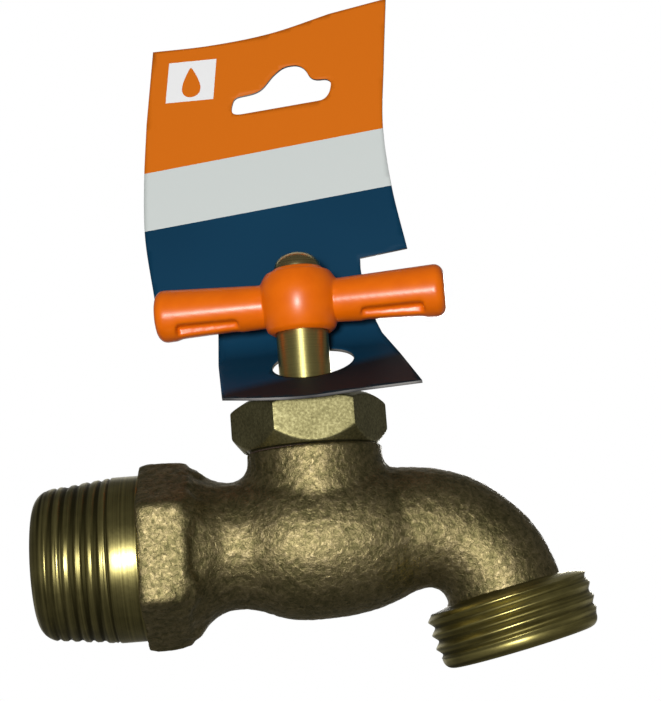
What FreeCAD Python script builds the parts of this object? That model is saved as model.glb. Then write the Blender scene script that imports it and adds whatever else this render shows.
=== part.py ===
import FreeCAD, Part
import math
import os

# Garden tap: a cast bronze hose bib with a 3/4 inch pipe inlet and a 3/4 inch garden hose outlet.
# Millimetres. The origin is on the inlet axis at the shoulder that the pipe thread runs up to.
# +X is the way the water enters, +Z is up the stem, and the spout turns down towards +X.

V = FreeCAD.Vector
X_AXIS = V(1, 0, 0)
Z_AXIS = V(0, 0, 1)

# Clearances, and how far a cut runs past the metal
running_clearance = 0.05
thread_clearance = 0.04
loose_clearance = 0.3
card_clearance = 0.35
cut_overrun = 1.0

# Inlet: male pipe thread, a plain land behind it and a cast hexagon for the wrench
inlet_thread_diameter = 26.67
inlet_thread_taper = 2.31
inlet_thread_length = 10.46
inlet_land_length = 4.3
inlet_nose_length = 2.1
inlet_nose_fullness = 0.62
inlet_end_wall = 1.5
inlet_bore_diameter = 16.0
inlet_bore_chamfer = 0.8
inlet_hex_proud = 0.065
inlet_hex_edge_radius = 1.4

# Cast body: waist, globe, neck and the place of the stem
shoulder_to_stem = 28.4
body_axis_rise = 0.8
waist_diameter = 20.6
waist_before_stem = 13.5
waist_flare_radius = 7.0
waist_flare_angle = 64.0
globe_rear_fullness = 0.73
globe_diameter = 25.8
globe_after_stem = 0.6
globe_shoulder_diameter = 23.7
globe_end_after_stem = 17.6
globe_end_diameter = 16.8
neck_wall = 0.9
neck_offset = 0.5
neck_height = 15.45
neck_blend_radius = 3.0

# Spout: a bend that narrows towards the hose thread
spout_start_after_stem = 9.0
spout_start_diameter = 21.4
spout_bend_after_stem = 16.2
spout_bend_rise = 1.5
spout_bend_radius = 13.6
spout_bend_angle = 77.8
spout_mid_diameter = 18.4
spout_end_diameter = 18.6
spout_root_diameter = 20.0

# Hose outlet: male hose thread with a flat end that the hose washer seats on
hose_thread_diameter = 26.9
hose_thread_length = 9.1
hose_thread_after_bend = 0.8
hose_thread_chamfer = 1.2
outlet_bore_diameter = 16.4

# Waterway inside the casting
seat_height = 1.5
seat_port_diameter = 9.6
seat_ring_diameter = 12.6
seat_ring_height = 0.8
chamber_clearance = 1.2
under_seat_width = 12.6
under_seat_height = 6.4
under_seat_end_width = 10.1
under_seat_end_height = 5.8
under_seat_centre = -5.5
under_seat_before_stem = 5.0
under_seat_after_stem = 5.2
passage_throat_width = 13.2
passage_throat_height = 8.6
passage_throat_centre = -3.3
passage_throat_before_stem = 10.6
passage_bridge_before_stem = 15.5
passage_bridge_diameter = 13.8
passage_start_before_stem = 23.0
spout_bore_diameter = 13.6
spout_wall_after_stem = 8.4

# Bonnet: hexagon head, threaded shank, and the stem's nut thread inside it
bonnet_across_flats = 22.3
bonnet_head_height = 8.55
bonnet_top_land_diameter = 20.0
bonnet_bottom_land_diameter = 21.6
bonnet_bottom_chamfer_height = 2.6
bonnet_bottom_chamfer_width = 2.1
bonnet_top_chamfer_height = 2.5
bonnet_top_chamfer_width = 2.9
bonnet_turn = 3.6
bonnet_shank_diameter = 17.8
bonnet_shank_length = 7.4
bonnet_cavity_clearance = 0.4
bonnet_cavity_depth = 3.2
gasket_width = 1.3
gasket_thickness = 0.8

# Stem: lead thread, round shank, square for the handle
stem_lead = 2.5
stem_turns = 2.0
stem_diameter = 8.66
stem_thread_diameter = 11.2
stem_thread_below_groove = 1.28
stem_thread_lead_in = 0.6
stem_foot_diameter = 9.2
stem_foot_length = 1.4
stem_shank_above_bonnet = 11.9
stem_square = 6.0
stem_square_below_hub_top = 1.8
stem_seal_section = 1.74
stem_seal_below_top = 1.75

# Washer holder that rides on the stem's foot without turning
holder_rim_thickness = 0.65
holder_plate_thickness = 1.6
holder_rim_depth = 1.4
holder_spigot_diameter = 4.8
holder_spigot_length = 4.4
seat_washer_diameter = 12.4
seat_washer_thickness = 2.5
washer_screw_diameter = 3.0
washer_screw_length = 5.6
washer_screw_head_diameter = 5.4
washer_screw_head_height = 1.4
washer_screw_head_bevel = 0.6

# Handle: a ball hub with two tapered arms, each cut back below to a keel
handle_turn = -7.0
hub_diameter = 13.5
hub_above_shank = 5.05
hub_top_above_centre = 5.0
hub_skirt_wall = 1.02
hub_skirt_overlap = 0.9
hub_skirt_bevel = 0.4
arm_below_hub_centre = 0.95
arm_reach = 24.2
arm_root_diameter = 6.8
arm_end_diameter = 8.8
arm_end_radius = 1.6
keel_start = 10.3
keel_end = 20.6
keel_width = 3.0
keel_step_below_axis = 2.2
handle_screw_diameter = 4.0
handle_screw_length = 9.0
handle_screw_head_diameter = 7.8
handle_screw_head_height = 2.8
handle_screw_slot_width = 0.9
handle_screw_slot_depth = 0.8
handle_screw_slot_turn = 35.0

# Hang card: a card sheet hooked over the stem by a round hole, its foot resting on the bonnet
card_thickness = 0.45
card_turn = -10.0
card_foot_slope = 28.0
card_bend_radius = 8.0
card_lean = 12.0
card_foot_reach = 13.0
card_bend_behind_stem = 4.48
card_hole_slack = 2.47
card_hole_share_aside = 0.65
card_hole_share_forward = 0.295
card_foot_left = -11.7
card_foot_right = 20.4
card_neck_left = -15.6
card_neck_right = 11.4
card_step_left = (-17.2, 8.8)
card_step_right = (9.4, 11.6)
card_low_left = (-27.2, 7.6)
card_low_right = (17.7, 12.6)
card_mid_left = (-29.1, 31.1)
card_mid_right = (14.9, 36.7)
card_top_edge = [(16.8, 63.2), (6.3, 61.6), (-5.1, 59.0), (-16.5, 58.1), (-27.3, 58.3)]
slot_left = (-12.5, 46.4)
slot_right = (6.0, 47.9)
slot_height = 3.4
slot_crown_centre = -1.9
slot_crown_base = 10.4
slot_crown_top = 4.6
slot_crown_height = 4.6

# Sizes and heights that follow from the ones above
inlet_thread_end_diameter = inlet_thread_diameter - inlet_thread_taper
inlet_nose_diameter = inlet_bore_diameter + 2 * inlet_end_wall
inlet_hex_across_flats = inlet_thread_diameter + 2 * inlet_hex_proud
gasket_diameter = bonnet_shank_diameter + 2 * gasket_width
neck_diameter = gasket_diameter + 2 * neck_wall
holder_diameter = seat_washer_diameter + 2 * (running_clearance + holder_rim_thickness)
chamber_diameter = holder_diameter + 2 * chamber_clearance
bonnet_cavity_diameter = holder_diameter + 2 * bonnet_cavity_clearance
bonnet_top = neck_height + bonnet_head_height
bonnet_bottom = neck_height - bonnet_shank_length
bottom_slope = bonnet_bottom_chamfer_height / bonnet_bottom_chamfer_width
top_slope = bonnet_top_chamfer_height / bonnet_top_chamfer_width
thread_bore = stem_thread_diameter + 2 * thread_clearance
stem_bore = stem_diameter + 2 * running_clearance
lift = stem_lead * stem_turns
seal_centre = bonnet_top - stem_seal_below_top
groove_half_height = stem_seal_section / 2 + running_clearance
holder_top = seat_height + seat_washer_thickness + holder_plate_thickness
thread_low_end = holder_top + stem_foot_length
thread_stop = seal_centre - groove_half_height - stem_thread_below_groove
thread_high_end = thread_stop - running_clearance - lift
stem_shank_top = bonnet_top + stem_shank_above_bonnet
hub_height = stem_shank_top + hub_above_shank
hub_top_height = hub_height + hub_top_above_centre
hub_skirt_height = stem_shank_top - hub_skirt_overlap
hub_skirt_diameter = stem_diameter + 2 * (running_clearance + hub_skirt_wall)
square_top = hub_top_height - stem_square_below_hub_top
card_hole_diameter = stem_diameter + 2 * card_hole_slack
card_hole_aside = card_hole_slack * card_hole_share_aside
card_foot_length = (card_foot_reach + card_bend_behind_stem) / math.cos(math.radians(card_foot_slope))
card_hole_from_foot = card_foot_reach - card_hole_slack * card_hole_share_forward
card_hole_from_foot /= math.cos(math.radians(card_foot_slope))


def turn_about(profile, start, axis):
    """A closed profile face turned once round an axis."""
    return profile.revolve(start, axis, 360)


def face_of(edges):
    """The flat face inside a closed loop of edges."""
    return Part.Face(Part.Wire(edges))


def polygon(points):
    """The flat face inside a closed polygon."""
    return Part.Face(Part.makePolygon(list(points) + [points[0]]))


def lathe(points):
    """A turned piece: (radius, height) points about the stem axis."""
    face = polygon([V(shoulder_to_stem + r, 0, z) for r, z in points])
    return turn_about(face, V(shoulder_to_stem, 0, 0), Z_AXIS)


def upright(diameter, low, high):
    """A cylinder on the stem axis."""
    return Part.makeCylinder(diameter / 2, high - low, V(shoulder_to_stem, 0, low), Z_AXIS)


def hexagon(across_flats, length, base, turn):
    """A hexagonal bar that stands along +Z from its base, one flat facing -Y before the turn."""
    corner = across_flats / math.sqrt(3)
    angles = [math.radians(turn + 60 * k) for k in range(6)]
    face = polygon([base + V(corner * math.cos(a), corner * math.sin(a), 0) for a in angles])
    return face.extrude(V(0, 0, length))


def ellipse_wire(x, width, height, centre_z):
    """An ellipse or circle in a plane square to the inlet axis, its seam at the top."""
    major, minor = (width / 2, height / 2) if width >= height else (height / 2, width / 2)
    shape = Part.Ellipse()
    shape.MajorRadius = major
    shape.MinorRadius = minor
    edge = shape.toShape()
    edge.rotate(V(0, 0, 0), V(0, 1, 0), 90)
    edge.rotate(V(0, 0, 0), X_AXIS, 90 if width >= height else 0)
    edge.translate(V(x, 0, centre_z))
    return Part.Wire([edge])


def spout_point(angle):
    """A point on the spout's centre line, by the angle turned so far."""
    a = math.radians(angle)
    x = shoulder_to_stem + spout_bend_after_stem + spout_bend_radius * math.sin(a)
    z = spout_bend_rise - spout_bend_radius * (1 - math.cos(a))
    return V(x, 0, z)


def spout_direction(angle):
    """The way the water runs at that point."""
    a = math.radians(angle)
    return V(math.cos(a), 0, -math.sin(a))


def ring_wire(diameter, centre, direction):
    return Part.Wire([Part.makeCircle(diameter / 2, centre, direction)])


outlet_direction = spout_direction(spout_bend_angle)
outlet_start = spout_point(spout_bend_angle) + outlet_direction * hose_thread_after_bend


# Valve body: the casting

def inlet_end():
    """Taper thread at its crest line, nose, and the plain land, turned about the inlet axis."""
    thread_end = -inlet_land_length - inlet_thread_length
    end = thread_end - inlet_nose_length
    outer = inlet_thread_diameter / 2
    small = inlet_thread_end_diameter / 2
    nose = inlet_nose_diameter / 2
    full = inlet_nose_fullness
    bulge = V(thread_end - full * inlet_nose_length, 0, nose + full * (small - nose))
    into_hex = inlet_land_length
    edges = [
        Part.LineSegment(V(end, 0, 0), V(end, 0, nose)).toShape(),
        Part.Arc(V(end, 0, nose), bulge, V(thread_end, 0, small)).toShape(),
        Part.LineSegment(V(thread_end, 0, small), V(-inlet_land_length, 0, outer)).toShape(),
        Part.LineSegment(V(-inlet_land_length, 0, outer), V(0, 0, outer)).toShape(),
        Part.LineSegment(V(0, 0, outer), V(into_hex, 0, outer)).toShape(),
        Part.LineSegment(V(into_hex, 0, outer), V(into_hex, 0, 0)).toShape(),
        Part.LineSegment(V(into_hex, 0, 0), V(end, 0, 0)).toShape(),
    ]
    return turn_about(face_of(edges), V(0, 0, 0), X_AXIS)


def flare_point(angle):
    """A point on the flare's upper outline, by the angle that it has turned up from the waist."""
    a = math.radians(angle)
    x = shoulder_to_stem - waist_before_stem - waist_flare_radius * math.sin(a)
    return V(x, 0, body_axis_rise + waist_diameter / 2 + waist_flare_radius * (1 - math.cos(a)))


def inlet_hexagon():
    """Cast hexagon with rounded corners, two of them straight up and down, that ends in the flare."""
    middle = flare_point(waist_flare_angle / 2)
    bar = hexagon(inlet_hex_across_flats, middle.x, V(0, 0, 0), 0)
    bar.rotate(V(0, 0, 0), V(0, 1, 0), 90)
    long_edges = [e for e in bar.Edges if abs(e.tangentAt(e.FirstParameter).x) > 0.9]
    bar = bar.makeFillet(inlet_hex_edge_radius, long_edges)
    rim = flare_point(waist_flare_angle)
    steepness = math.tan(math.radians(waist_flare_angle))
    past_corner = inlet_hex_across_flats / math.sqrt(3) + 2 * body_axis_rise
    past_x = rim.x - (past_corner - rim.z) / steepness
    start = V(-cut_overrun, 0, body_axis_rise)
    edges = [
        Part.LineSegment(start, V(start.x, 0, past_corner)).toShape(),
        Part.LineSegment(V(start.x, 0, past_corner), V(past_x, 0, past_corner)).toShape(),
        Part.LineSegment(V(past_x, 0, past_corner), rim).toShape(),
        Part.Arc(rim, flare_point(waist_flare_angle * 3 / 4), middle).toShape(),
        Part.LineSegment(middle, V(middle.x, 0, start.z)).toShape(),
        Part.LineSegment(V(middle.x, 0, start.z), start).toShape(),
    ]
    return bar.common(turn_about(face_of(edges), start, X_AXIS))


def waist_and_globe():
    """The casting's barrel: the rest of the flare, the waist, the globe and the spout's root."""
    rise = body_axis_rise
    waist = waist_diameter / 2
    waist_x = shoulder_to_stem - waist_before_stem
    flare = flare_point(waist_flare_angle / 2)
    globe_x = shoulder_to_stem + globe_after_stem
    end_x = shoulder_to_stem + globe_end_after_stem
    rear_shoulder = waist + globe_rear_fullness * (globe_diameter / 2 - waist)
    crown = Part.BSplineCurve()
    crown.interpolate(
        Points=[
            V(waist_x, 0, rise + waist),
            V((waist_x + globe_x) / 2, 0, rise + rear_shoulder),
            V(globe_x, 0, rise + globe_diameter / 2),
            V((globe_x + end_x) / 2, 0, rise + globe_shoulder_diameter / 2),
            V(end_x, 0, rise + globe_end_diameter / 2),
        ],
        InitialTangent=V(1, 0, 0),
        FinalTangent=V(1, 0, -0.5),
    )
    edges = [
        Part.LineSegment(V(flare.x, 0, rise), flare).toShape(),
        Part.Arc(flare, flare_point(waist_flare_angle / 4), flare_point(0)).toShape(),
        crown.toShape(),
        Part.LineSegment(V(end_x, 0, rise + globe_end_diameter / 2), V(end_x, 0, rise)).toShape(),
        Part.LineSegment(V(end_x, 0, rise), V(flare.x, 0, rise)).toShape(),
    ]
    barrel = turn_about(face_of(edges), V(0, 0, rise), X_AXIS)
    barrel.rotate(V(0, 0, rise), X_AXIS, 180)
    return barrel


def spout_tube(start_diameter, root_diameter, mid_diameter, end_diameter, start_after_stem, ruled):
    """The bend as one loft through rings square to its centre line, smooth outside and plain inside."""
    quarter, half, three_quarters = [spout_bend_angle * k / 4 for k in (1, 2, 3)]
    first_diameter = (root_diameter + mid_diameter) / 2
    third_diameter = (mid_diameter + end_diameter) / 2
    start = V(shoulder_to_stem + start_after_stem, 0, spout_bend_rise)
    past_end = outlet_start + outlet_direction * cut_overrun
    rings = [
        ring_wire(start_diameter, start, X_AXIS),
        ring_wire(root_diameter, spout_point(0), spout_direction(0)),
        ring_wire(first_diameter, spout_point(quarter), spout_direction(quarter)),
        ring_wire(mid_diameter, spout_point(half), spout_direction(half)),
        ring_wire(third_diameter, spout_point(three_quarters), spout_direction(three_quarters)),
        ring_wire(end_diameter, spout_point(spout_bend_angle), outlet_direction),
        ring_wire(end_diameter, past_end, outlet_direction),
    ]
    return Part.makeLoft(rings, True, ruled)


def hose_thread():
    """The outlet's thread at its crest line, chamfered at the free end."""
    half = hose_thread_diameter / 2
    length = hose_thread_length
    points = [(0, 0), (half, 0), (half, length - hose_thread_chamfer)]
    points += [(half - hose_thread_chamfer, length), (0, length)]
    face = polygon([V(r, 0, z) for r, z in points])
    spool = turn_about(face, V(0, 0, 0), Z_AXIS)
    spool.Placement = FreeCAD.Placement(outlet_start, FreeCAD.Rotation(Z_AXIS, outlet_direction))
    return spool


def outer_casting():
    """The neck is blended into the globe all round, and the spout then joins the globe."""
    neck_base = V(shoulder_to_stem + neck_offset, 0, 0)
    neck = Part.makeCylinder(neck_diameter / 2, neck_height, neck_base, Z_AXIS)
    neck.rotate(neck_base, Z_AXIS, 90)
    trunk = waist_and_globe().fuse(neck)
    seam = []
    for edge in trunk.Edges:
        samples = edge.discretize(7)
        off_neck = [abs(math.hypot(p.x - neck_base.x, p.y) - neck_diameter / 2) for p in samples]
        on_neck = max(off_neck) < running_clearance
        below_top = max(p.z for p in samples) < neck_height - running_clearance
        if on_neck and below_top and edge.Curve.TypeId != "Part::GeomLine":
            seam.append(edge)
    trunk = trunk.makeFillet(neck_blend_radius, seam)
    spout = spout_tube(
        spout_start_diameter,
        spout_root_diameter,
        spout_mid_diameter,
        spout_end_diameter,
        spout_start_after_stem,
        False,
    )
    return trunk.fuse([spout, inlet_end(), inlet_hexagon(), hose_thread()])


def waterway():
    """Everything that is cored or bored out of the casting."""
    stem_x = shoulder_to_stem
    inlet_end_x = -inlet_land_length - inlet_thread_length - inlet_nose_length
    bore = inlet_bore_diameter / 2
    start_x = stem_x - passage_start_before_stem
    outside_x = inlet_end_x - cut_overrun
    inlet_points = [(outside_x, 0), (outside_x, bore + inlet_bore_chamfer + cut_overrun)]
    inlet_points += [(inlet_end_x + inlet_bore_chamfer, bore), (start_x, bore), (start_x, 0)]
    inlet = turn_about(polygon([V(x, 0, r) for x, r in inlet_points]), V(0, 0, 0), X_AXIS)
    inside = inlet_bore_diameter - 2 * running_clearance
    passage = Part.makeLoft(
        [
            ellipse_wire(start_x - cut_overrun, inside, inside, 0),
            ellipse_wire(
                stem_x - passage_bridge_before_stem, passage_bridge_diameter, passage_bridge_diameter, 0
            ),
            ellipse_wire(
                stem_x - passage_throat_before_stem,
                passage_throat_width,
                passage_throat_height,
                passage_throat_centre,
            ),
            ellipse_wire(
                stem_x - under_seat_before_stem, under_seat_width, under_seat_height, under_seat_centre
            ),
            ellipse_wire(
                stem_x + under_seat_after_stem, under_seat_end_width, under_seat_end_height, under_seat_centre
            ),
        ],
        True,
        True,
    )
    above_neck = neck_height + cut_overrun
    port = upright(seat_port_diameter, under_seat_centre, seat_height + cut_overrun)
    floor = seat_height - seat_ring_height
    thread_low = bonnet_bottom - loose_clearance
    chamber = upright(chamber_diameter, floor, thread_low)
    chamber = chamber.cut(upright(seat_ring_diameter, floor - cut_overrun, seat_height))
    neck_thread = upright(bonnet_shank_diameter + 2 * thread_clearance, thread_low, above_neck)
    gasket_seat = upright(gasket_diameter + 2 * running_clearance, neck_height - gasket_thickness, above_neck)
    bore_line = spout_tube(
        spout_bore_diameter,
        spout_bore_diameter,
        spout_bore_diameter,
        spout_bore_diameter,
        spout_wall_after_stem,
        True,
    )
    over_floor = Part.makeCylinder(
        spout_bore_diameter / 2, spout_wall_after_stem + cut_overrun, V(stem_x, 0, spout_bend_rise), X_AXIS
    )
    over_floor = over_floor.common(
        Part.makeBox(
            2 * chamber_diameter,
            chamber_diameter,
            chamber_diameter,
            V(stem_x - cut_overrun, -chamber_diameter / 2, seat_height),
        )
    )
    outlet = Part.makeCylinder(
        outlet_bore_diameter / 2, hose_thread_length + cut_overrun, outlet_start, outlet_direction
    )
    return [inlet, passage, port, chamber, neck_thread, gasket_seat, bore_line, over_floor, outlet]


def valve_body():
    return outer_casting().cut(waterway())


# Bonnet and what seals it

def bonnet():
    head = hexagon(
        bonnet_across_flats, bonnet_head_height, V(shoulder_to_stem, 0, neck_height), bonnet_turn
    )
    corner = bonnet_across_flats / math.sqrt(3) + cut_overrun
    envelope = lathe(
        [
            (0, neck_height),
            (bonnet_bottom_land_diameter / 2, neck_height),
            (corner, neck_height + bottom_slope * (corner - bonnet_bottom_land_diameter / 2)),
            (corner, bonnet_top - top_slope * (corner - bonnet_top_land_diameter / 2)),
            (bonnet_top_land_diameter / 2, bonnet_top),
            (0, bonnet_top),
        ]
    )
    head = head.common(envelope)
    shank = upright(bonnet_shank_diameter, bonnet_bottom, neck_height)
    cavity = upright(bonnet_cavity_diameter, bonnet_bottom - cut_overrun, bonnet_bottom + bonnet_cavity_depth)
    nut_thread = upright(thread_bore, bonnet_bottom, thread_stop)
    guide = upright(stem_bore, bonnet_bottom, bonnet_top + cut_overrun)
    groove = upright(
        stem_bore + 2 * (stem_seal_section + running_clearance),
        seal_centre - groove_half_height,
        seal_centre + groove_half_height,
    )
    return head.fuse(shank).cut([cavity, nut_thread, guide, groove])


def bonnet_gasket():
    ring = upright(gasket_diameter, neck_height - gasket_thickness, neck_height)
    return ring.cut(upright(bonnet_shank_diameter + 2 * thread_clearance, 0, neck_height + cut_overrun))


def stem_seal():
    """The O-ring in the bonnet's groove."""
    section = stem_seal_section / 2
    return Part.makeTorus(stem_bore / 2 + section, section, V(shoulder_to_stem, 0, seal_centre), Z_AXIS)


# Stem and the washer that it presses on the seat

def stem():
    rod = lathe(
        [
            (0, holder_top),
            (stem_foot_diameter / 2, holder_top),
            (stem_foot_diameter / 2, thread_low_end),
            (stem_thread_diameter / 2, thread_low_end + stem_thread_lead_in),
            (stem_thread_diameter / 2, thread_high_end),
            (stem_diameter / 2, thread_high_end),
            (stem_diameter / 2, stem_shank_top),
            (0, stem_shank_top),
        ]
    )
    side = stem_square
    corner = V(shoulder_to_stem - side / 2, -side / 2, stem_shank_top)
    square = Part.makeBox(side, side, square_top - stem_shank_top, corner)
    square.rotate(V(shoulder_to_stem, 0, 0), Z_AXIS, handle_turn)
    square = square.common(upright(stem_diameter - loose_clearance, stem_shank_top, square_top))
    screw_hole = upright(
        handle_screw_diameter + 2 * thread_clearance,
        hub_top_height - handle_screw_length - loose_clearance,
        square_top + cut_overrun,
    )
    spigot_hole = upright(
        holder_spigot_diameter + 2 * running_clearance,
        holder_top - cut_overrun,
        holder_top + holder_spigot_length + loose_clearance,
    )
    return rod.fuse(square).cut([screw_hole, spigot_hole])


def washer_holder():
    """A cupped plate with a spigot that swivels in the stem's foot."""
    plate_low = seat_height + seat_washer_thickness
    cup = upright(holder_diameter, plate_low - holder_rim_depth, holder_top)
    recess = upright(seat_washer_diameter + 2 * running_clearance, 0, plate_low)
    spigot = upright(holder_spigot_diameter, plate_low, holder_top + holder_spigot_length)
    hole = upright(washer_screw_diameter + 2 * thread_clearance, 0, seat_height + washer_screw_length)
    return cup.cut(recess).fuse(spigot).cut(hole)


def seat_washer():
    washer_top = seat_height + seat_washer_thickness
    disc = upright(seat_washer_diameter, seat_height, washer_top)
    return disc.cut(upright(washer_screw_diameter + 2 * thread_clearance, 0, washer_top + cut_overrun))


def washer_screw():
    head = washer_screw_head_diameter / 2
    shank = washer_screw_diameter / 2
    low = seat_height - washer_screw_head_height
    high = seat_height + washer_screw_length - loose_clearance
    bevel = washer_screw_head_bevel
    profile = [(0, low), (head - bevel, low), (head, low + bevel), (head, seat_height)]
    profile += [(shank, seat_height), (shank, high), (0, high)]
    return lathe(profile)


# Handle

def handle_arm_profile():
    """Half outline of the bar: narrow beside the hub, wider at its rounded ends."""
    root = arm_root_diameter / 2
    end = arm_end_diameter / 2
    reach = arm_reach
    r = arm_end_radius
    c = r * math.cos(math.radians(45))
    return [
        Part.LineSegment(V(0, 0, 0), V(0, 0, root)).toShape(),
        Part.LineSegment(V(0, 0, root), V(reach - r, 0, end)).toShape(),
        Part.Arc(V(reach - r, 0, end), V(reach - r + c, 0, end - r + c), V(reach, 0, end - r)).toShape(),
        Part.LineSegment(V(reach, 0, end - r), V(reach, 0, 0)).toShape(),
        Part.LineSegment(V(reach, 0, 0), V(0, 0, 0)).toShape(),
    ]


def handle():
    """Modelled with its bar along X about the stem axis at X = 0, then turned and put in place."""
    arm = turn_about(face_of(handle_arm_profile()), V(0, 0, 0), X_AXIS)
    low = arm_end_diameter
    span = keel_end - keel_start
    for side in (-1, 1):
        y = keel_width / 2 if side > 0 else -keel_width / 2 - low
        arm = arm.cut(Part.makeBox(span, low, low, V(keel_start, y, -keel_step_below_axis - low)))
    other = arm.copy()
    other.rotate(V(0, 0, 0), Z_AXIS, 180)
    arms = arm.fuse(other)
    arms.translate(V(0, 0, hub_height - arm_below_hub_centre))
    ball = Part.makeSphere(hub_diameter / 2, V(0, 0, hub_height))
    skirt = Part.makeCylinder(hub_skirt_diameter / 2, hub_height - hub_skirt_height, V(0, 0, hub_skirt_height))
    low_rim = [e for e in skirt.Edges if e.BoundBox.ZMax < hub_skirt_height + running_clearance]
    skirt = skirt.makeChamfer(hub_skirt_bevel, low_rim)
    keep = Part.makeCylinder(hub_diameter, hub_top_height - hub_skirt_height, V(0, 0, hub_skirt_height))
    hub = ball.fuse(skirt).common(keep)
    side = stem_square + 2 * running_clearance
    ledge = stem_shank_top
    below = ledge - hub_diameter
    round_hole = Part.makeCylinder(stem_diameter / 2 + running_clearance, ledge - below, V(0, 0, below))
    socket_top = square_top + loose_clearance
    socket = Part.makeBox(side, side, socket_top - ledge, V(-side / 2, -side / 2, ledge))
    screw_way = Part.makeCylinder(
        handle_screw_diameter / 2 + loose_clearance, hub_diameter, V(0, 0, ledge + cut_overrun)
    )
    shape = hub.fuse(arms).cut([round_hole, socket, screw_way])
    shape.rotate(V(0, 0, 0), Z_AXIS, handle_turn)
    shape.translate(V(shoulder_to_stem, 0, 0))
    return shape


def handle_screw():
    """Domed head on the hub's flat, shank down into the stem."""
    half = handle_screw_head_diameter / 2
    rise = handle_screw_head_height
    dome_radius = (half * half + rise * rise) / (2 * rise)
    centre = V(shoulder_to_stem, 0, hub_top_height + rise - dome_radius)
    head = Part.makeSphere(dome_radius, centre).common(
        upright(handle_screw_head_diameter, hub_top_height, hub_top_height + rise + cut_overrun)
    )
    slot = Part.makeBox(
        2 * handle_screw_head_diameter,
        handle_screw_slot_width,
        handle_screw_slot_depth + cut_overrun,
        V(
            shoulder_to_stem - handle_screw_head_diameter,
            -handle_screw_slot_width / 2,
            hub_top_height + rise - handle_screw_slot_depth,
        ),
    )
    slot.rotate(V(shoulder_to_stem, 0, 0), Z_AXIS, handle_screw_slot_turn)
    shank = upright(handle_screw_diameter, hub_top_height - handle_screw_length, hub_top_height)
    return head.cut(slot).fuse(shank)


# Hang card: foot, bend and panel in the card's own frame, where X runs across it and Y back

def card_foot_start():
    """The front edge of the foot, set so that the sheet clears the bonnet's top edge."""
    slope = math.radians(card_foot_slope)
    touch_y = -bonnet_top_land_diameter / 2
    touch_z = bonnet_top + card_clearance / math.cos(slope)
    return V(0, -card_foot_reach, touch_z - (card_foot_reach + touch_y) * math.tan(slope))


def card_frames():
    """Where the foot ends and where the panel starts, with the panel's upward direction."""
    slope = math.radians(card_foot_slope)
    top = math.radians(90 - card_lean)
    start = card_foot_start()
    foot_end = start + V(0, math.cos(slope), math.sin(slope)) * card_foot_length
    panel_start = foot_end + V(
        0,
        card_bend_radius * (math.sin(top) - math.sin(slope)),
        card_bend_radius * (math.cos(slope) - math.cos(top)),
    )
    return start, foot_end, panel_start


def hang_card():
    slope = math.radians(card_foot_slope)
    top = math.radians(90 - card_lean)
    start, foot_end, panel_start = card_frames()
    along_foot = V(0, math.cos(slope), math.sin(slope))
    off_foot = V(0, -math.sin(slope), math.cos(slope))
    along_panel = V(0, math.cos(top), math.sin(top))
    off_panel = V(0, -math.sin(top), math.cos(top))
    foot = polygon(
        [
            start + V(card_foot_left, 0, 0),
            start + V(card_foot_right, 0, 0),
            foot_end + V(card_neck_right, 0, 0),
            foot_end + V(card_neck_left, 0, 0),
        ]
    ).extrude(off_foot * card_thickness)
    centre = foot_end + off_foot * card_bend_radius
    inner = card_bend_radius - card_thickness
    middle = (slope + top) / 2
    toward = [V(0, math.sin(a), -math.cos(a)) for a in (slope, middle, top)]
    edges = [
        Part.Arc(*[centre + t * card_bend_radius for t in toward]).toShape(),
        Part.LineSegment(centre + toward[2] * card_bend_radius, centre + toward[2] * inner).toShape(),
        Part.Arc(*[centre + t * inner for t in reversed(toward)]).toShape(),
        Part.LineSegment(centre + toward[0] * inner, centre + toward[0] * card_bend_radius).toShape(),
    ]
    bend = face_of(edges)
    bend.translate(V(card_neck_left, 0, 0))
    bend = bend.extrude(V(card_neck_right - card_neck_left, 0, 0))

    def on_panel(across, up):
        return panel_start + V(across, 0, 0) + along_panel * up

    def side(low, middle, high):
        """One bowed side of the panel, as an arc through three points."""
        return Part.Arc(on_panel(*low), on_panel(*middle), on_panel(*high)).toShape()

    def line(first, second):
        return Part.LineSegment(on_panel(*first), on_panel(*second)).toShape()

    top_edge = Part.BSplineCurve()
    top_edge.interpolate([on_panel(*p) for p in card_top_edge])
    outline = [
        line((card_neck_left, 0), (card_neck_right, 0)),
        line((card_neck_right, 0), card_step_right),
        line(card_step_right, card_low_right),
        side(card_low_right, card_mid_right, card_top_edge[0]),
        top_edge.toShape(),
        side(card_top_edge[-1], card_mid_left, card_low_left),
        line(card_low_left, card_step_left),
        line(card_step_left, (card_neck_left, 0)),
    ]
    panel = face_of(outline).extrude(off_panel * card_thickness)
    reach = 4 * card_thickness
    slot_slope = (slot_right[1] - slot_left[1]) / (slot_right[0] - slot_left[0])

    def slot_line(across):
        return slot_left[1] + (across - slot_left[0]) * slot_slope

    base_left = slot_crown_centre - slot_crown_base / 2
    base_right = slot_crown_centre + slot_crown_base / 2
    crown_up = slot_line(slot_crown_centre) + slot_crown_height
    slot_outline = [
        (slot_left[0], slot_left[1] - slot_height),
        (slot_right[0], slot_right[1] - slot_height),
        slot_right,
        (base_right, slot_line(base_right)),
        (slot_crown_centre + slot_crown_top / 2, crown_up),
        (slot_crown_centre - slot_crown_top / 2, crown_up),
        (base_left, slot_line(base_left)),
        slot_left,
    ]
    slot = polygon([on_panel(*p) - off_panel * reach for p in slot_outline]).extrude(off_panel * 2 * reach)
    hole_centre = start + V(card_hole_aside, 0, 0) + along_foot * card_hole_from_foot
    hole = Part.makeCylinder(card_hole_diameter / 2, 2 * reach, hole_centre - off_foot * reach, off_foot)
    card = foot.fuse([bend, panel]).cut([slot, hole])
    card.rotate(V(0, 0, 0), Z_AXIS, card_turn)
    card.translate(V(shoulder_to_stem, 0, 0))
    return card


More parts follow.
